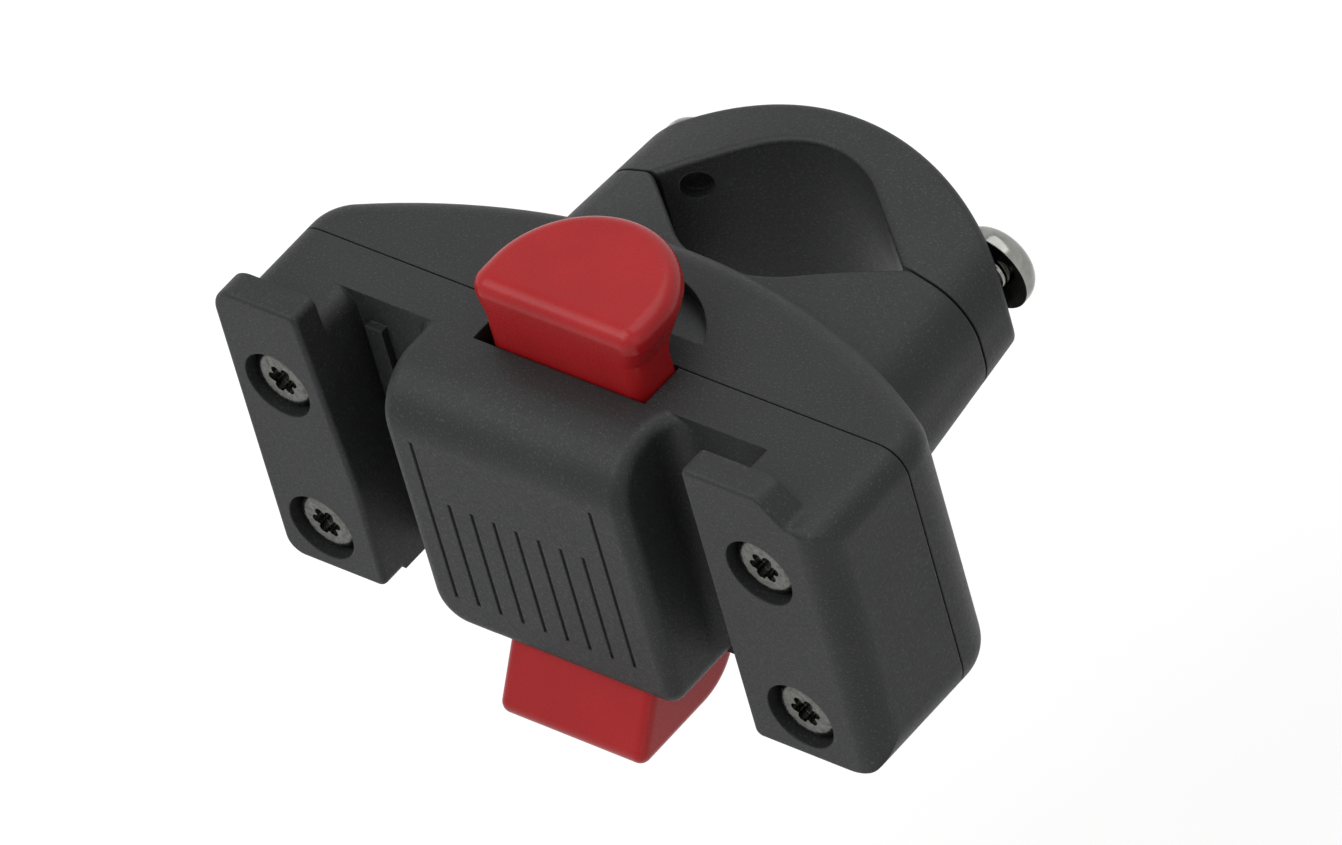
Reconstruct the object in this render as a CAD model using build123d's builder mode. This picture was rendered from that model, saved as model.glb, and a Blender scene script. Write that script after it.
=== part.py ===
"""Clamp-on bag mount for a bicycle handlebar or stem tube.

X runs to the right as the bag sees the mount, Y from the bag to the tube, Z up along the tube.
The origin is on the tube's axis, in the plane where the two jaws meet. All sizes are in millimetres.
"""
import os
from math import cos, isclose, radians, sin, sqrt, tan

from build123d import *

os.makedirs("parts", exist_ok=True)

# Housing: two shells that meet in one upright plane
housing_w = 78.0
housing_top = 12.5
housing_h = 34.2
clamp_reach = 41.1
front_depth = 13.7
rear_depth = 15.6
rear_side_depth = 4.4
edge_r = 3.0
base_edge_r = 5.0
rear_corner_r = 5.5
parting_gap = 0.2
wall = 3.0

# Rails: the left slot leans open at its top, the right one has a lip over it
lip_t = 3.3
lip_rise = 3.0
lip_overhang = 4.2
lip_corner_r = 3.2
lip_foot_r = 2.2
lip_inner_r = 1.0
lip_edge_r = 0.6
lip_end_inset = 7.3
lip_end_r = 2.0
lip_dent_r = 1.0
lead_in_w = 1.6
lead_in_h = 24.0
lead_in_r = 20.0
lead_in_edge_r = 2.5
rail_edge_r = 3.5
slot_depth = 8.3
slot_wall_x = 26.1
slot_strip_w = 2.2
slot_strip_t = 1.0
slot_strip_drop = 3.7
slot_strip_lift = 2.0
slot_left_r = 1.5
slot_right_r = 3.0

# Centre block between the slots, with fine upright grooves on its front
block_left = -17.8
block_right = 13.5
block_proud = 1.5
block_lift = 0.9
block_top_r = 6.5
block_left_r = 4.0
block_right_r = 1.9
block_edge_r = 1.7
groove_count = 9
groove_pitch = 2.89
groove_w = 0.45
groove_depth = 0.25
groove_first_x = -14.1
groove_foot = 4.4
groove_long_h = 21.7
groove_short_h = 14.2

# Release slider: button, stem and foot in one piece
slider_w = 20.6
stem_t = 5.0
stem_drop = 12.0
stem_clear = 0.3
slot_end_gap = 1.2
button_top = 20.8
button_t = 2.6
button_w = 21.8
button_flare_h = 2.0
button_depth = 15.0
button_corner_r = 2.2
button_edge_r = 1.9
button_scoop_r = 3.8
recess_gap = 1.0
recess_depth = 2.2
recess_run = 7.0
foot_w = 18.8
foot_bottom = -28.2
foot_reach = 14.0
foot_slope_deg = 33.0
foot_bend_r = 3.0
foot_front_r = 1.3
foot_heel_r = 7.5
pocket_gap = 0.9
foot_edge_r = 1.2

# Return spring between the slider's lug and the rear shell's floor
lug_w = 10.0
lug_t = 4.0
lug_reach = 8.6
lug_clear = 0.2
spring_d = 7.0
spring_wire_d = 0.8
spring_turns = 9
spring_seat_gap = 0.15
peg_clear = 0.5
peg_h = 3.0

# Tube clamp: a fixed jaw on the rear shell and a loose cap, each with a blunt V
jaw_w = 48.2
jaw_top = 6.9
jaw_bottom = -14.5
jaw_crown = 4.9
jaw_end_r = 6.8
jaw_draft_deg = 4.0
jaw_rise_deg = 5.2
jaw_gap = 0.3
vee_half_w = 16.1
vee_deg = 39.0
vee_r = 12.5
cap_depth = 14.6
cap_side_depth = 5.0
cap_edge_r = 1.2
vee_rim_r = 0.7
dimple_x = -13.0
dimple_z = 2.1
dimple_d = 3.6
dimple_depth = 1.5

# Screws that hold the shells together, from the front
screw_left_inset = 6.0
screw_right_inset = 9.8
screw_top_drop = 8.4
screw_pitch = 20.0
screw_d = 4.0
screw_len = 14.5
screw_head_d = 7.4
screw_head_h = 2.0
screw_sink = 0.8
screw_head_r = 1.1
screw_recess_d = 3.6
screw_lobe_d = 1.1
screw_recess_depth = 1.2
screw_tip = 0.6
counterbore_d = 8.2
hole_clear = 0.25
boss_d = 9.0

# Clamp bolts and their captive nuts
bolt_inset = 5.2
bolt_z = -2.3
bolt_d = 4.0
bolt_seat_y = 8.6
bolt_len = 30.0
bolt_head_d = 9.4
bolt_head_h = 2.9
bolt_rim_h = 0.7
bolt_flat_d = 3.8
bolt_socket_af = 3.0
bolt_socket_depth = 1.8
spot_face_d = 9.8
nut_af = 7.0
nut_t = 3.2
nut_floor = 1.6
pocket_clear = 0.2
thread_clear = 0.1

# Places that follow from the sizes above
half_w = housing_w / 2
housing_bottom = housing_top - housing_h
front_y = -clamp_reach
parting_y = front_y + front_depth
back_y = parting_y + rear_depth
side_y = parting_y + rear_side_depth
lip_y = front_y + lip_t
lip_top = housing_top + lip_rise
lip_left = slot_wall_x - lip_overhang
lip_end = half_w - lip_end_inset
lead_in_low = lip_top - lead_in_h
lead_in_slope = lead_in_w / lead_in_h
lead_in_edge_x = -slot_wall_x - lead_in_slope * (housing_top - lead_in_edge_r - lead_in_low)
slot_y = front_y + slot_depth
block_y = front_y - block_proud
block_bottom = housing_bottom + block_lift
stem_rear = parting_y - stem_clear
stem_front = stem_rear - stem_t
stem_low = housing_top - stem_drop
button_rear = stem_front + button_depth
button_under = button_top - button_t
flare_low = button_under - button_flare_h
web_low = button_under - button_scoop_r
foot_front = stem_front - foot_reach
foot_slope_top = foot_bottom + foot_reach / tan(radians(foot_slope_deg))
recess_rear = button_rear + recess_gap
recess_floor = housing_top - recess_depth
cavity_top = recess_floor - wall
cavity_bottom = housing_bottom + wall
lug_top = cavity_top - lug_clear
lug_bottom = lug_top - lug_t
spring_y = parting_y + lug_reach - spring_d / 2
peg_d = spring_d - 2 * spring_wire_d - 2 * peg_clear
screw_seat_y = front_y + screw_sink + screw_head_h
screw_end_y = screw_seat_y + screw_len
screw_top_z = housing_top - screw_top_drop
screw_sides = {"left": screw_left_inset - half_w, "right": half_w - screw_right_inset}
screw_rows = {"top": screw_top_z, "bottom": screw_top_z - screw_pitch}
bolt_x = jaw_w / 2 - bolt_inset
bolt_sides = {"left": -bolt_x, "right": bolt_x}
nut_seat_y = back_y - nut_floor


def upright(y):
    """Plane at depth y that faces the bag, so its sketches read as the front view."""
    return Plane.XZ.offset(-y)


def rounded_section(left, right, bottom, top, radii):
    """Rectangle with a radius for each corner, anticlockwise from the lower left."""
    corners = [(left, bottom), (right, bottom), (right, top), (left, top)]
    with BuildLine() as outline:
        FilletPolyline(*corners, radius=radii, close=True)
    make_face(outline.edges())


def arch_plan(half_width, base, side, middle):
    """Plan with a straight base and an arched back."""
    with BuildLine() as outline:
        Polyline((-half_width, side), (-half_width, base), (half_width, base), (half_width, side))
        ThreePointArc((half_width, side), (0, middle), (-half_width, side))
    make_face(outline.edges())


def vee_plan(way):
    """Plan of a blunt V whose mouth lies where the jaws meet; it points along Y times way."""
    depth = vee_half_w * tan(radians(vee_deg))
    with BuildLine() as outline:
        FilletPolyline((-vee_half_w, 0), (0, way * depth), (vee_half_w, 0), radius=vee_r)
        Line((vee_half_w, 0), (-vee_half_w, 0))
    make_face(outline.edges())


def button_plan(half_width, rear, front_r):
    """D-shaped plan of the button, its stem or its recess, with two front corners."""
    straight = button_rear - button_w / 2
    with BuildLine() as outline:
        FilletPolyline(
            (-half_width, straight), (-half_width, stem_front),
            (half_width, stem_front), (half_width, straight),
            radius=front_r,
        )
        ThreePointArc((half_width, straight), (0, rear), (-half_width, straight))
    make_face(outline.edges())


def corner_sliver(x, y, x_way, y_way, radius):
    """Space between a square corner and its rounding; the ways point along its two sides."""
    inset = radius * (1 - sqrt(0.5))
    with BuildLine() as outline:
        Polyline((x + x_way * radius, y), (x, y), (x, y + y_way * radius))
        ThreePointArc(
            (x, y + y_way * radius), (x + x_way * inset, y + y_way * inset), (x + x_way * radius, y),
        )
    make_face(outline.edges())


def fade_rail_edge():
    """Rounds the right rail's upper front edge, most at its outer end and not at all at the lip."""
    with BuildSketch(Plane.YZ.offset(half_w)) as outer_end:
        corner_sliver(front_y, housing_top, 1, -1, rail_edge_r)
    loft([outer_end.sketch, Vertex(lip_end + lip_rise, front_y, housing_top)], mode=Mode.SUBTRACT)


def jaw_outline(y):
    """Front view of the jaws at depth y: crowned above and below, with round ends."""
    half = jaw_w / 2 - y * tan(radians(jaw_draft_deg))
    bottom = jaw_bottom + y * tan(radians(jaw_rise_deg))
    upper = jaw_top - jaw_crown
    lower = bottom + jaw_crown
    with BuildLine() as outline:
        ThreePointArc((-half, upper), (0, jaw_top), (half, upper))
        Line((half, upper), (half, lower))
        ThreePointArc((half, lower), (0, bottom), (-half, lower))
        Line((-half, lower), (-half, upper))
    make_face(outline.edges())
    fillet(vertices(), jaw_end_r)


def shape_jaw(y_from, y_to, way):
    """Cuts the V into a plain block, trims the block to the jaws' outline and rounds the V's upper rim."""
    with BuildSketch(Plane.XY) as vee:
        vee_plan(way)
    extrude(vee.sketch, amount=housing_h, both=True, mode=Mode.SUBTRACT)
    with BuildSketch(upright(y_from)) as near_end:
        jaw_outline(y_from)
    with BuildSketch(upright(y_to)) as far_end:
        jaw_outline(y_to)
    loft([near_end.sketch, far_end.sketch], ruled=True, mode=Mode.INTERSECT)
    bends = faces().filter_by(GeomType.CYLINDER).filter_by(lambda face: isclose(face.radius, vee_r))
    fillet(bends.edges().sort_by(Axis.Z)[-1], vee_rim_r)


def round_hole(diameter, y_from, y_to, places):
    """Round holes along Y between two depths, at (x, z) places."""
    with BuildSketch(upright(y_from)) as holes:
        with Locations(*places):
            Circle(diameter / 2)
    extrude(holes.sketch, amount=y_from - y_to, mode=Mode.SUBTRACT)


screw_places = [(x, z) for x in screw_sides.values() for z in screw_rows.values()]
bolt_places = [(x, bolt_z) for x in bolt_sides.values()]


# Rounded inner corners of the slots; their upper edges are as soft as the block's
slot_corners = []
for x, way, radius, low in (
    (block_left, -1, slot_left_r, block_bottom + block_left_r),
    (block_right, 1, slot_right_r, block_bottom + block_right_r),
):
    axis_x = x + way * radius
    inset = block_edge_r * (1 - sqrt(0.5))
    with BuildPart() as slot_corner:
        with BuildSketch(Plane.XY.offset(low)):
            with Locations((x + way * (radius - block_edge_r) / 2, slot_y - radius / 2)):
                Rectangle(radius + block_edge_r, radius)
        extrude(amount=housing_top - low)
        with BuildSketch(upright(slot_y - radius)):
            with BuildLine():
                Polyline(
                    (x - way * block_edge_r, housing_top), (axis_x, housing_top),
                    (axis_x, low), (x, low), (x, housing_top - block_edge_r),
                )
                ThreePointArc(
                    (x, housing_top - block_edge_r), (x - way * inset, housing_top - inset),
                    (x - way * block_edge_r, housing_top),
                )
            make_face()
        revolve(axis=Axis((axis_x, slot_y - radius, 0), (0, 0, 1)), mode=Mode.SUBTRACT)
    slot_corners.append(slot_corner.part)


# Front shell: centre block, slab behind the slots, rails and lips
with BuildPart() as front_housing:
    with BuildSketch(Plane.YZ.offset(block_left)):
        with BuildLine():
            FilletPolyline(
                (parting_y, block_bottom), (block_y, block_bottom),
                (block_y, housing_top), (parting_y, housing_top),
                radius=(0, 0, block_top_r, 0), close=True,
            )
        make_face()
    extrude(amount=block_right - block_left)
    for side, radius in ((0, block_left_r), (-1, block_right_r)):
        fillet(edges().filter_by(Axis.Y).group_by(Axis.X)[side].sort_by(Axis.Z)[0], radius)
    block_front_outline = faces().sort_by(Axis.Y)[0].edges().sort_by(Axis.Z)[:-1]
    fillet(block_front_outline, block_edge_r)

    with BuildSketch(upright(slot_y)):
        slab_radii = (base_edge_r, base_edge_r, edge_r, edge_r)
        rounded_section(-half_w, half_w, housing_bottom, housing_top, slab_radii)
    extrude(amount=slot_y - parting_y)
    with BuildSketch(upright(lip_y)):
        rounded_section(-half_w, -slot_wall_x, housing_bottom, housing_top, (base_edge_r, 0, 0, edge_r))
        rounded_section(slot_wall_x, half_w, housing_bottom, housing_top, (0, base_edge_r, edge_r, 0))
    extrude(amount=lip_y - slot_y)

    left_lip = [
        (-half_w, housing_bottom), (-slot_wall_x, housing_bottom), (-slot_wall_x, lead_in_low),
        (-slot_wall_x - lead_in_w, lip_top), (-half_w, lip_top),
    ]
    right_lip = [
        (lip_left, housing_bottom), (half_w, housing_bottom), (half_w, housing_top),
        (lip_end + lip_rise, housing_top), (lip_end, lip_top), (lip_left, lip_top),
    ]
    left_radii = (lip_foot_r, lip_inner_r, lead_in_r, lip_inner_r, lip_corner_r)
    right_radii = (lip_inner_r, base_edge_r, edge_r, lip_dent_r, lip_end_r, lip_inner_r)
    for corners, radii in ((left_lip, left_radii), (right_lip, right_radii)):
        with BuildSketch(upright(front_y)):
            with BuildLine():
                FilletPolyline(*corners, radius=radii, close=True)
            make_face()
        extrude(amount=-lip_t)
        fillet(edges(Select.LAST).group_by(Axis.Y)[0], lip_edge_r)

    # Left slot's outer wall: it leans outwards behind the lip, and its upper edge is round
    with BuildSketch(upright(slot_y)):
        with BuildLine():
            Polyline(
                (-slot_wall_x, lead_in_low), (-slot_wall_x, lip_top), (-slot_wall_x - lead_in_w, lip_top),
                close=True,
            )
        make_face()
        corner_sliver(lead_in_edge_x, housing_top, -1, -1, lead_in_edge_r)
    extrude(amount=slot_y - lip_y, mode=Mode.SUBTRACT)

    # Soft outer edges of the right rail's front
    with BuildSketch(Plane.XY.offset(housing_bottom)):
        corner_sliver(half_w, front_y, -1, 1, rail_edge_r)
    extrude(amount=housing_h, mode=Mode.SUBTRACT)
    fade_rail_edge()

    # Corners of the slots, and a low strip down the left slot's back wall
    add(slot_corners)
    strip_top = housing_top - slot_strip_drop
    strip_low = housing_bottom + slot_strip_lift
    with BuildSketch(upright(slot_y - slot_strip_t)):
        rounded_section(-slot_wall_x, slot_strip_w - slot_wall_x, strip_low, strip_top, 4 * (0,))
    extrude(amount=-slot_strip_t)

    # Grooves on the block's front; the outer two are longer
    for index in range(groove_count):
        height = groove_long_h if index in (0, groove_count - 1) else groove_short_h
        groove_x = groove_first_x + index * groove_pitch
        with BuildSketch(upright(block_y + groove_depth)):
            with Locations((groove_x, block_bottom + groove_foot)):
                Rectangle(groove_w, height, align=(Align.CENTER, Align.MIN))
        extrude(amount=groove_depth, mode=Mode.SUBTRACT)

    # Channel for the stem, and the sloped pocket for the foot
    with BuildSketch(Plane.XY.offset(housing_bottom)):
        with BuildLine():
            Polyline(
                (-slider_w / 2 - slot_end_gap, stem_front - stem_clear),
                (slider_w / 2 + stem_clear, stem_front - stem_clear),
                (slider_w / 2 + stem_clear, parting_y),
                (-slider_w / 2 - slot_end_gap, parting_y),
                close=True,
            )
        make_face()
    extrude(amount=housing_h, mode=Mode.SUBTRACT)
    with BuildSketch(Plane.YZ):
        with BuildLine():
            Polyline(
                (foot_front - pocket_gap, foot_bottom), (stem_front, foot_bottom),
                (stem_front, foot_slope_top + pocket_gap),
                (stem_front - pocket_gap, foot_slope_top + pocket_gap),
                close=True,
            )
        make_face()
    extrude(amount=foot_w / 2 + pocket_gap, both=True, mode=Mode.SUBTRACT)

    round_hole(counterbore_d, front_y, screw_seat_y, screw_places)
    round_hole(screw_d + 2 * hole_clear, screw_seat_y, parting_y, screw_places)

front_housing.part.label = "front_housing"
export_step(front_housing.part, "parts/front_housing.step")


# Space under the button, with a floor that falls towards the back
with BuildPart() as button_recess:
    with BuildSketch(Plane.XY.offset(recess_floor)):
        button_plan(button_w / 2 + recess_gap, recess_rear, button_corner_r)
    extrude(amount=recess_depth)
    with BuildSketch(Plane.YZ):
        with BuildLine():
            Polyline(
                (recess_rear - recess_run, housing_top), (recess_rear, recess_floor),
                (recess_rear, housing_top),
                close=True,
            )
        make_face()
    extrude(amount=button_w, both=True, mode=Mode.INTERSECT)


# Hollow and thin gap behind the front shell, left solid where the screw bosses stand
with BuildPart() as shell_hollow:
    with BuildSketch(Plane.XY.offset(cavity_bottom)):
        arch_plan(half_w - wall, parting_y, side_y - wall, back_y - wall)
    extrude(amount=cavity_top - cavity_bottom)
    with BuildSketch(upright(parting_y)):
        Rectangle(2 * housing_w, 2 * housing_h)
    extrude(amount=-parting_gap)
    round_hole(boss_d, parting_y, back_y, screw_places)


# Rear shell with the fixed jaw
with BuildPart() as rear_housing:
    with BuildSketch(Plane.XY.offset(jaw_top)):
        Rectangle(housing_w, -parting_y - wall, align=(Align.CENTER, Align.MAX))
    extrude(amount=-housing_h)
    shape_jaw(parting_y + wall, 0, -1)
    with BuildSketch(Plane.XY.offset(housing_bottom)) as rear_plan:
        arch_plan(half_w, parting_y, side_y, back_y)
        fillet(rear_plan.vertices().group_by(Axis.Y)[-1], rear_corner_r)
    extrude(amount=housing_h)
    for side, radius in ((0, base_edge_r), (-1, edge_r)):
        fillet(faces().sort_by(Axis.Z)[side].edges().sort_by(Axis.Y)[1:], radius)

    # Hollow, and holes in the bosses that it leaves
    add(shell_hollow.part, mode=Mode.SUBTRACT)
    round_hole(screw_d + 2 * hole_clear, parting_y, screw_end_y + hole_clear, screw_places)

    # Recess under the button, and the spring's peg
    add(button_recess.part, mode=Mode.SUBTRACT)
    with BuildSketch(Plane.XY.offset(cavity_bottom)):
        with Locations((0, spring_y)):
            Circle(peg_d / 2)
    extrude(amount=peg_h)

    # Bolt holes, and hexagonal pockets that keep the nuts from turning
    round_hole(bolt_d + 2 * hole_clear, parting_y, 0, bolt_places)
    with BuildSketch(upright(nut_seat_y)):
        with Locations(*bolt_places):
            RegularPolygon(nut_af / 2 + pocket_clear, 6, major_radius=False)
    extrude(amount=nut_seat_y - parting_y, mode=Mode.SUBTRACT)

rear_housing.part.label = "rear_housing"
export_step(rear_housing.part, "parts/rear_housing.step")


# Loose cap of the tube clamp
with BuildPart() as clamp_cap:
    with BuildSketch(Plane.XY.offset(jaw_top)):
        arch_plan(jaw_w / 2, jaw_gap, cap_side_depth, cap_depth)
    extrude(amount=-housing_h)
    shape_jaw(0, cap_depth, 1)
    fillet(faces().sort_by(Axis.Y)[-1].edges(), cap_edge_r)
    round_hole(bolt_d + 2 * hole_clear, 0, cap_depth, bolt_places)
    round_hole(spot_face_d, bolt_seat_y, cap_depth, bolt_places)

    # Dimple in the V's left face
    slope = radians(vee_deg)
    dimple_y = (vee_half_w + dimple_x) * tan(slope)
    with BuildSketch(Plane((dimple_x, dimple_y, dimple_z), z_dir=(-sin(slope), cos(slope), 0))):
        Circle(dimple_d / 2)
    extrude(amount=dimple_depth, mode=Mode.SUBTRACT)

clamp_cap.part.label = "clamp_cap"
export_step(clamp_cap.part, "parts/clamp_cap.step")


# Release slider
with BuildPart() as release_slider:
    with BuildSketch(Plane.YZ.offset(-foot_w / 2)):
        with BuildLine():
            FilletPolyline(
                (stem_front, stem_low), (stem_front, foot_slope_top), (foot_front, foot_bottom),
                (stem_rear, foot_bottom), (stem_rear, stem_low),
                radius=(0, foot_bend_r, foot_front_r, foot_heel_r, 0), close=True,
            )
        make_face()
    extrude(amount=foot_w)
    fillet(faces().filter_by(Axis.X).edges().sort_by(Axis.Z)[:-2], foot_edge_r)

    # Stem that flares into the button
    with BuildSketch(Plane.XY.offset(button_under)):
        button_plan(button_w / 2, button_rear, button_corner_r)
    extrude(amount=button_t)
    fillet(faces().sort_by(Axis.Z)[-1].edges(), button_edge_r)
    with BuildSketch(Plane.XY.offset(flare_low)):
        button_plan(slider_w / 2, button_rear, button_corner_r)
    with BuildSketch(Plane.XY.offset(button_under)):
        button_plan(button_w / 2, button_rear, button_corner_r)
    loft(ruled=True)
    with BuildSketch(Plane.XY.offset(stem_low)):
        button_plan(slider_w / 2, button_rear, button_corner_r)
    extrude(amount=flare_low - stem_low)

    # Hollow behind the stem, scooped out below the button
    scoop_y = stem_rear + button_scoop_r
    with BuildSketch(Plane.YZ):
        with BuildLine():
            Polyline(
                (stem_rear, web_low), (stem_rear, stem_low), (recess_rear, stem_low),
                (recess_rear, button_under), (scoop_y, button_under),
            )
            CenterArc((scoop_y, web_low), button_scoop_r, 90, 90)
        make_face()
    extrude(amount=button_w, both=True, mode=Mode.SUBTRACT)

    # Lug and peg that the spring pushes up
    with BuildSketch(Plane.XY.offset(lug_bottom)):
        with Locations((0, stem_rear - stem_t / 2)):
            Rectangle(lug_w, lug_reach + stem_clear + stem_t / 2, align=(Align.CENTER, Align.MIN))
    extrude(amount=lug_t)
    with BuildSketch(Plane.XY.offset(lug_bottom)):
        with Locations((0, spring_y)):
            Circle(peg_d / 2)
    extrude(amount=-peg_h)

release_slider.part.label = "release_slider"
export_step(release_slider.part, "parts/release_slider.step")


# Return spring, one open helix between the two seats
spring_low = cavity_bottom + spring_wire_d / 2 + spring_seat_gap
spring_high = lug_bottom - spring_wire_d / 2 - spring_seat_gap
spring_h = spring_high - spring_low
spring_r = (spring_d - spring_wire_d) / 2
with BuildPart() as return_spring:
    with BuildLine() as coil:
        Helix(spring_h / spring_turns, spring_h, spring_r, (0, spring_y, spring_low))
    with BuildSketch(Plane(coil.line @ 0, z_dir=coil.line % 0)):
        Circle(spring_wire_d / 2)
    sweep(path=coil.line, is_frenet=True)

return_spring.part.label = "return_spring"
export_step(return_spring.part, "parts/return_spring.step")


# Pan-head screws with a six-lobed recess
for row, z in screw_rows.items():
    for side, x in screw_sides.items():
        with BuildPart() as housing_screw:
            with BuildSketch(upright(screw_seat_y)):
                with Locations((x, z)):
                    Circle(screw_head_d / 2)
            extrude(amount=screw_head_h)
            fillet(edges().group_by(Axis.Y)[0], screw_head_r)
            with BuildSketch(upright(screw_seat_y)):
                with Locations((x, z)):
                    Circle(screw_d / 2)
            extrude(amount=-screw_len)
            chamfer(edges().group_by(Axis.Y)[-1], screw_tip)
            with BuildSketch(upright(screw_seat_y - screw_head_h)):
                with Locations((x, z)):
                    Circle((screw_recess_d - screw_lobe_d) / 2)
                    with PolarLocations((screw_recess_d - screw_lobe_d) / 2, 6):
                        Circle(screw_lobe_d / 2)
            extrude(amount=-screw_recess_depth, mode=Mode.SUBTRACT)
        name = f"housing_screw_{row}_{side}"
        housing_screw.part.label = name
        export_step(housing_screw.part, f"parts/{name}.step")


# Domed clamp bolts and their nuts
for side, x in bolt_sides.items():
    with BuildPart() as clamp_bolt:
        with BuildSketch(Plane((x, bolt_seat_y, bolt_z), x_dir=(1, 0, 0), z_dir=(0, 0, 1))):
            with BuildLine():
                Polyline(
                    (0, bolt_head_h), (0, -bolt_len), (bolt_d / 2 - screw_tip, -bolt_len),
                    (bolt_d / 2, screw_tip - bolt_len), (bolt_d / 2, 0),
                    (bolt_head_d / 2, 0), (bolt_head_d / 2, bolt_rim_h),
                )
                TangentArc((bolt_head_d / 2, bolt_rim_h), (bolt_flat_d / 2, bolt_head_h), tangent=(0, 1))
                Line((bolt_flat_d / 2, bolt_head_h), (0, bolt_head_h))
            make_face()
        revolve(axis=Axis((x, bolt_seat_y, bolt_z), (0, 1, 0)))
        with BuildSketch(upright(bolt_seat_y + bolt_head_h)):
            with Locations((x, bolt_z)):
                RegularPolygon(bolt_socket_af / 2, 6, major_radius=False)
        extrude(amount=bolt_socket_depth, mode=Mode.SUBTRACT)
    clamp_bolt.part.label = f"clamp_bolt_{side}"
    export_step(clamp_bolt.part, f"parts/clamp_bolt_{side}.step")

    with BuildPart() as clamp_nut:
        with BuildSketch(upright(nut_seat_y)):
            with Locations((x, bolt_z)):
                RegularPolygon(nut_af / 2, 6, major_radius=False)
                Circle(bolt_d / 2 + thread_clear, mode=Mode.SUBTRACT)
        extrude(amount=nut_t)
    clamp_nut.part.label = f"clamp_nut_{side}"
    export_step(clamp_nut.part, f"parts/clamp_nut_{side}.step")
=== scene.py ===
"""Looks of the clamp-on bag mount: materials, light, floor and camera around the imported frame."""
import math

import bpy
from mathutils import Matrix, Vector


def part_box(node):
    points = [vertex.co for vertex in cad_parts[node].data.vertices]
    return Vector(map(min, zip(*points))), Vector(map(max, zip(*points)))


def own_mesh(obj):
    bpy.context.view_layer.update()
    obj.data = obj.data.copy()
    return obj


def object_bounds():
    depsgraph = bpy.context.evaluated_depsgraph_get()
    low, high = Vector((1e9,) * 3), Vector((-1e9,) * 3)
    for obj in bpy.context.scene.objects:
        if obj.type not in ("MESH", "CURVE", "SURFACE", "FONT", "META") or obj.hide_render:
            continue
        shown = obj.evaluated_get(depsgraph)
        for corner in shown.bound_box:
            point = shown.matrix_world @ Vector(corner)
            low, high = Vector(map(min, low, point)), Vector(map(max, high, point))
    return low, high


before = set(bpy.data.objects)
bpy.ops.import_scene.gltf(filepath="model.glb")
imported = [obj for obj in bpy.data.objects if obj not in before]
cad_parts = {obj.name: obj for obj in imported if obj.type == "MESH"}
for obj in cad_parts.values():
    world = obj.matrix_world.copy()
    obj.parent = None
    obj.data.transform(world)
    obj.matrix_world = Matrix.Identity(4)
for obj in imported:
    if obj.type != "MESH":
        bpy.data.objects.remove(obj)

MM = 0.001
cad_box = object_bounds()

# The photograph's frame and viewing angle
PHOTO_W = 1342
PHOTO_PX_PER_MM = 10.0
CAMERA_AZIMUTH = math.radians(48.83)
CAMERA_ELEVATION = math.radians(41.87)
CAMERA_ROLL = math.radians(16.24)
CAMERA_DISTANCE = 2.0
CAMERA_TARGET = Vector((0, -21.1, -5.0)) * MM
CAMERA_CLIP_END = 100

# Stage
FLOOR_DROP = 60 * MM
FLOOR_SIZE = 6.0
FLOOR_COLOUR = (0.82, 0.82, 0.82, 1)
FLOOR_GLOW = 0.72
FLOOR_SHADED = (0.42, 0.42, 0.42, 1)
WORLD_LIGHT = 0.18
WORLD_SEEN = 1.0

# Lamps: name, direction from the object, side in metres and power in watts
LAMP_DISTANCE = 0.9
LAMPS = (
    ("key", (-0.35, -0.75, 1.0), 0.7, 4.7),
    ("fill", (1.0, -0.5, 0.5), 0.8, 1.0),
    ("top", (0.1, 0.4, 1.0), 0.8, 3.3),
)

# Colours, each pair from its dull patches to its pale ones
BLACK = (0.0150, 0.0156, 0.0160, 1), (0.0195, 0.0201, 0.0205, 1)
BLACK_SPECK = (0.105, 0.107, 0.110, 1)
RED = (0.370, 0.0100, 0.0125, 1), (0.420, 0.0130, 0.0155, 1)
RED_SPECK = (0.58, 0.085, 0.085, 1)
ZINC = (0.06, 0.06, 0.056, 1), (0.16, 0.16, 0.148, 1)
# Bolt steel: its own tint, darkened overall and in patches as a painted reflection of dark surroundings
BOLT_WITH_PAINTED_REFLECTION = (0.19, 0.19, 0.177, 1), (0.31, 0.31, 0.29, 1)
WIRE = (0.40, 0.40, 0.39, 1), (0.56, 0.55, 0.53, 1)

# Clamp bolts: height of the head, and the thread below it
BOLT_HEAD = 2.9 * MM
THREAD_PITCH = 0.7 * MM
SCRATCH_SHARE = 0.02

# Rays that the rounding of sharp edges takes
BEVEL_SAMPLES = 6


def add(material, kind, **inputs):
    """Adds a shader node; values go on its input sockets, and links come from other nodes' sockets."""
    node = material.node_tree.nodes.new(kind)
    for name, value in inputs.items():
        set_input(material, node, name.replace("_", " "), value)
    return node


def set_input(material, node, name, value):
    """Links a socket to the node's input, or writes a plain value there."""
    sockets = [s for s in node.inputs if s.name == name and s.enabled]
    if isinstance(value, bpy.types.NodeSocket):
        material.node_tree.links.new(value, sockets[0])
    else:
        sockets[0].default_value = value


def math_node(material, operation, first, second=0.0):
    """One arithmetic step on one or two sockets or numbers."""
    node = material.node_tree.nodes.new("ShaderNodeMath")
    node.operation = operation
    for socket, value in zip(node.inputs, (first, second)):
        if isinstance(value, bpy.types.NodeSocket):
            material.node_tree.links.new(value, socket)
        else:
            socket.default_value = value
    return node.outputs[0]


def spread(material, value, low, high, out_low=0.0, out_high=1.0):
    """Maps low to high onto the output range, clamped."""
    node = add(material, "ShaderNodeMapRange", Value=value)
    for name, number in (("From Min", low), ("From Max", high), ("To Min", out_low), ("To Max", out_high)):
        node.inputs[name].default_value = number
    return node.outputs["Result"]


def mixed(material, factor, first, second):
    """Colour between first and second, by factor."""
    node = material.node_tree.nodes.new("ShaderNodeMix")
    node.data_type = "RGBA"
    set_input(material, node, "Factor", factor)
    set_input(material, node, "A", first)
    set_input(material, node, "B", second)
    return [s for s in node.outputs if s.enabled][0]


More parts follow.
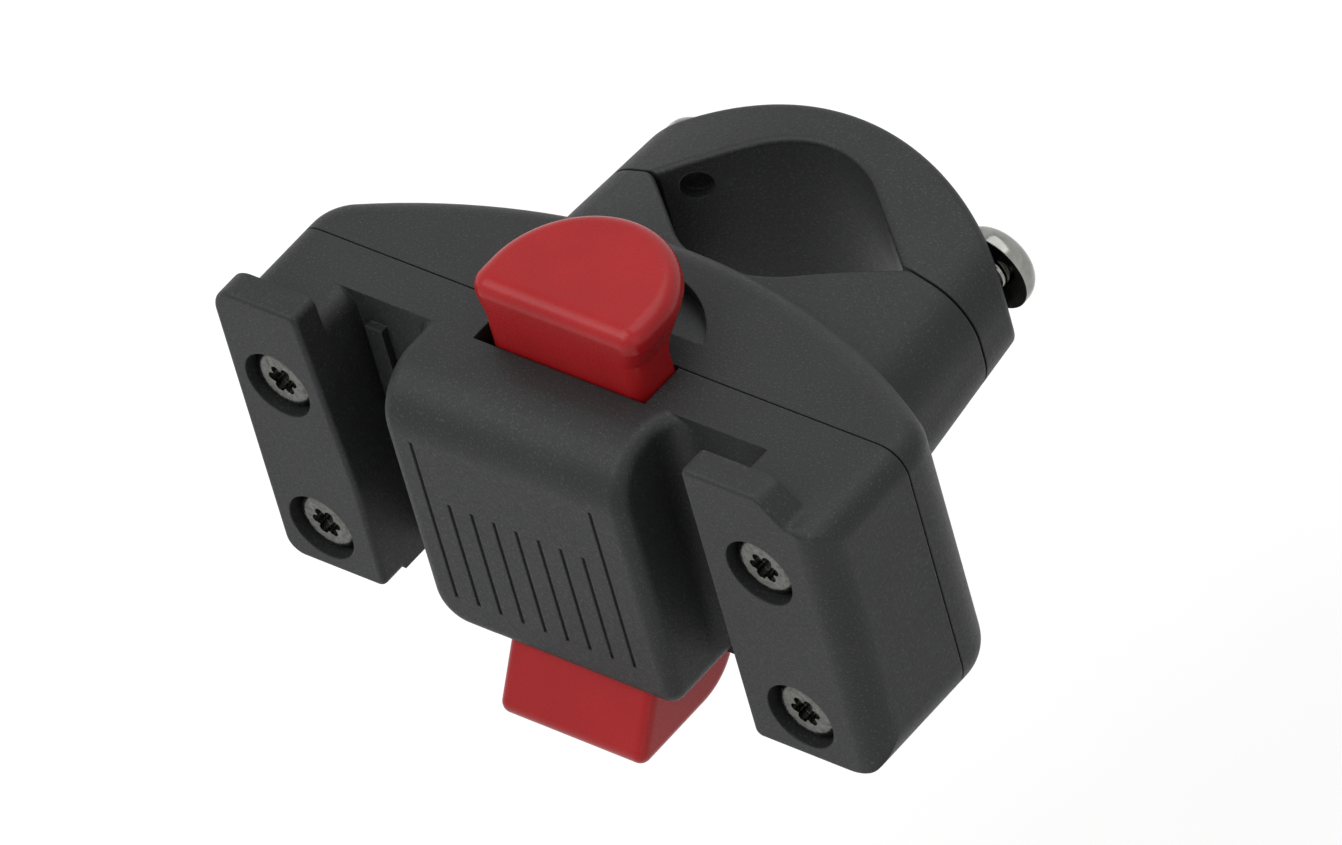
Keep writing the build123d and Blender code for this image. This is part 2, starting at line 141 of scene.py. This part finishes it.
def new_material(name):
    """Material with its shader, and coordinates that move with the piece."""
    material = bpy.data.materials.new(name)
    material.use_nodes = True
    shader = material.node_tree.nodes["Principled BSDF"]
    place = add(material, "ShaderNodeTexCoord").outputs["Object"]
    return material, shader, place


def noise(material, place, size, detail=2.0, roughness=0.5):
    """Noise whose patches are about size across, in metres."""
    node = add(material, "ShaderNodeTexNoise", Vector=place, Scale=1 / size)
    set_input(material, node, "Detail", detail)
    set_input(material, node, "Roughness", roughness)
    return node.outputs["Fac"]


def patches(material, place, size, detail):
    """Soft clouds from 0 to 1, about size across."""
    return spread(material, noise(material, place, size, detail), low=0.3, high=0.7)


def specks(material, place, size, low, high, share):
    """Small spots where the noise passes low, full at high, of which a share shows."""
    spots = spread(material, noise(material, place, size, detail=1.0), low, high)
    return math_node(material, "MULTIPLY", spots, share)


def rough_by_grain(material, grain, smooth, rough):
    """Roughness that follows the grain."""
    return spread(material, grain, low=0.25, high=0.75, out_low=smooth, out_high=rough)


def bumped(material, height, depth, strength, normal=None):
    """Normal with a relief of the given depth, in metres."""
    node = add(material, "ShaderNodeBump", Height=height, Strength=strength, Distance=depth)
    if normal is not None:
        set_input(material, node, "Normal", normal)
    return node.outputs["Normal"]


def soft_edges(material, radius):
    """Normal that rounds sharp edges a little, as a mould does."""
    node = add(material, "ShaderNodeBevel", Radius=radius)
    node.samples = BEVEL_SAMPLES
    return node.outputs["Normal"]


def black_plastic():
    """Dark moulded plastic with a fine spark-eroded grain and pale specks."""
    material, shader, place = new_material("black_plastic")
    grain = noise(material, place, 0.34 * MM, detail=3.0, roughness=0.6)
    fleck = specks(material, place, 0.24 * MM, low=0.58, high=0.72, share=0.28)
    body = mixed(material, patches(material, place, 9 * MM, detail=3.0), *BLACK)
    set_input(material, shader, "Base Color", mixed(material, fleck, body, BLACK_SPECK))
    shader.inputs["Specular IOR Level"].default_value = 0.27
    set_input(material, shader, "Roughness", rough_by_grain(material, grain, smooth=0.42, rough=0.60))
    rounded = soft_edges(material, radius=0.25 * MM)
    relief = bumped(material, grain, depth=0.06 * MM, strength=0.6, normal=rounded)
    set_input(material, shader, "Normal", relief)
    return material


def red_plastic():
    """Satin red moulding, smoother than the black one."""
    material, shader, place = new_material("red_plastic")
    grain = noise(material, place, 0.28 * MM)
    fleck = specks(material, place, 0.22 * MM, low=0.62, high=0.76, share=0.12)
    body = mixed(material, patches(material, place, 7 * MM, detail=2.0), *RED)
    set_input(material, shader, "Base Color", mixed(material, fleck, body, RED_SPECK))
    shader.inputs["Specular IOR Level"].default_value = 0.26
    set_input(material, shader, "Roughness", rough_by_grain(material, grain, smooth=0.24, rough=0.36))
    rounded = soft_edges(material, radius=0.2 * MM)
    relief = bumped(material, grain, depth=0.02 * MM, strength=0.2, normal=rounded)
    set_input(material, shader, "Normal", relief)
    return material


def metal(name, colours, patch, smooth, rough):
    """Bare metal whose colour and roughness drift in patches, with its shader and coordinates."""
    material, shader, place = new_material(name)
    cloud = patches(material, place, patch, detail=3.0)
    set_input(material, shader, "Base Color", mixed(material, cloud, *colours))
    shader.inputs["Metallic"].default_value = 1.0
    set_input(material, shader, "Roughness", spread(material, cloud, 0, 1, smooth, rough))
    return material, shader, place


def screw_steel():
    """Zinc-plated steel, a little uneven."""
    material, shader, place = metal("screw_steel", ZINC, patch=0.6 * MM, smooth=0.18, rough=0.34)
    grain = noise(material, place, 0.20 * MM)
    rounded = soft_edges(material, radius=0.12 * MM)
    relief = bumped(material, grain, depth=0.03 * MM, strength=0.5, normal=rounded)
    set_input(material, shader, "Normal", relief)
    return material


def bolt_steel(name, seat_y):
    """Polished bolt; below its head the thread shows as ridges along Y. Its dull grey and darker patches
    are a painted reflection of dark surroundings, on the steel's own tint.
    """
    material, shader, place = metal(name, BOLT_WITH_PAINTED_REFLECTION, patch=2.0 * MM, smooth=0.10, rough=0.20)
    scratch = noise(material, place, 0.10 * MM)
    along = add(material, "ShaderNodeSeparateXYZ", Vector=place).outputs["Y"]
    below = math_node(material, "LESS_THAN", along, seat_y)
    phase = math_node(material, "MULTIPLY", along, 2 * math.pi / THREAD_PITCH)
    thread = math_node(material, "MULTIPLY", math_node(material, "SINE", phase), below)
    ridges = math_node(material, "ADD", thread, math_node(material, "MULTIPLY", scratch, SCRATCH_SHARE))
    rounded = soft_edges(material, radius=0.15 * MM)
    relief = bumped(material, ridges, depth=0.12 * MM, strength=0.8, normal=rounded)
    set_input(material, shader, "Normal", relief)
    return material


def spring_steel():
    """Drawn wire with a dull sheen."""
    material, shader, place = metal("spring_steel", WIRE, patch=1.0 * MM, smooth=0.28, rough=0.42)
    grain = noise(material, place, 0.08 * MM)
    set_input(material, shader, "Normal", bumped(material, grain, depth=0.01 * MM, strength=0.4))
    return material


def dress_nodes():
    """Gives every node of the frame its material."""
    black, red, zinc, wire = black_plastic(), red_plastic(), screw_steel(), spring_steel()
    for name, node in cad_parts.items():
        if name.startswith("clamp_bolt"):
            finish = bolt_steel(f"{name}_steel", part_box(name)[1].y - BOLT_HEAD)
        elif name.startswith(("housing_screw", "clamp_nut")):
            finish = zinc
        elif name == "return_spring":
            finish = wire
        elif name == "release_slider":
            finish = red
        else:
            finish = black
        node.data.materials.clear()
        node.data.materials.append(finish)


def squash_spring():
    """Gives the return spring a mesh of its own; the spring keeps its modelled length."""
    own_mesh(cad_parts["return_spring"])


def seen_directly(material):
    """1 for camera, mirror and glass rays, 0 for the rays that light the object."""
    path = add(material, "ShaderNodeLightPath").outputs
    seen = math_node(material, "MAXIMUM", path["Is Camera Ray"], path["Is Glossy Ray"])
    return math_node(material, "MAXIMUM", seen, path["Is Transmission Ray"])


def make_floor():
    """Pale floor below the object; it stays white to the camera and keeps a soft shadow."""
    material = bpy.data.materials.new("floor")
    material.use_nodes = True
    tree = material.node_tree
    tree.nodes.remove(tree.nodes["Principled BSDF"])
    plain = add(material, "ShaderNodeBsdfDiffuse", Color=FLOOR_COLOUR).outputs[0]
    shaded = add(material, "ShaderNodeBsdfDiffuse", Color=FLOOR_SHADED).outputs[0]
    glow = add(material, "ShaderNodeEmission", Color=(1, 1, 1, 1), Strength=FLOOR_GLOW).outputs[0]
    both = tree.nodes.new("ShaderNodeAddShader")
    tree.links.new(shaded, both.inputs[0])
    tree.links.new(glow, both.inputs[1])
    choice = tree.nodes.new("ShaderNodeMixShader")
    tree.links.new(seen_directly(material), choice.inputs[0])
    tree.links.new(plain, choice.inputs[1])
    tree.links.new(both.outputs[0], choice.inputs[2])
    tree.links.new(choice.outputs[0], tree.nodes["Material Output"].inputs["Surface"])

    lowest = cad_box[0][2]
    bpy.ops.mesh.primitive_plane_add(size=FLOOR_SIZE, location=(0, 0, lowest - FLOOR_DROP))
    floor = bpy.context.object
    floor.name = "floor"
    floor.data.materials.append(material)


def make_world():
    """Even pale surroundings, white where they are seen or mirrored."""
    world = bpy.data.worlds.new("studio")
    world.use_nodes = True
    tree = world.node_tree
    background = tree.nodes["Background"]
    background.inputs["Color"].default_value = (1, 1, 1, 1)
    strength = spread(world, seen_directly(world), 0, 1, WORLD_LIGHT, WORLD_SEEN)
    tree.links.new(strength, background.inputs["Strength"])
    bpy.context.scene.world = world


def make_light(name, direction, size, power):
    """Square soft lamp that looks at the object from the given direction."""
    data = bpy.data.lights.new(name, "AREA")
    data.size = size
    data.energy = power
    lamp = bpy.data.objects.new(name, data)
    lamp.location = CAMERA_TARGET + Vector(direction).normalized() * LAMP_DISTANCE
    lamp.rotation_euler = Vector(direction).to_track_quat("Z", "Y").to_euler()
    bpy.context.scene.collection.objects.link(lamp)


def make_camera():
    """Long-lens camera at the photograph's angle, turned about its axis as there."""
    back = Vector((
        math.sin(CAMERA_AZIMUTH) * math.cos(CAMERA_ELEVATION),
        -math.cos(CAMERA_AZIMUTH) * math.cos(CAMERA_ELEVATION),
        math.sin(CAMERA_ELEVATION),
    ))
    level = Vector((math.cos(CAMERA_AZIMUTH), math.sin(CAMERA_AZIMUTH), 0))
    rise = back.cross(level)
    right = level * math.cos(CAMERA_ROLL) - rise * math.sin(CAMERA_ROLL)
    up = rise * math.cos(CAMERA_ROLL) + level * math.sin(CAMERA_ROLL)
    data = bpy.data.cameras.new("camera")
    data.sensor_fit = "HORIZONTAL"
    frame_width = PHOTO_W / PHOTO_PX_PER_MM * MM
    data.lens = data.sensor_width * CAMERA_DISTANCE / frame_width
    data.clip_end = CAMERA_CLIP_END
    camera = bpy.data.objects.new("camera", data)
    turn = Matrix((right, up, back)).transposed().to_4x4()
    camera.matrix_world = Matrix.Translation(CAMERA_TARGET + back * CAMERA_DISTANCE) @ turn
    bpy.context.scene.collection.objects.link(camera)
    bpy.context.scene.camera = camera


dress_nodes()
squash_spring()
make_floor()
make_world()
for lamp in LAMPS:
    make_light(*lamp)
make_camera()
bpy.context.scene.view_settings.view_transform = "Standard"
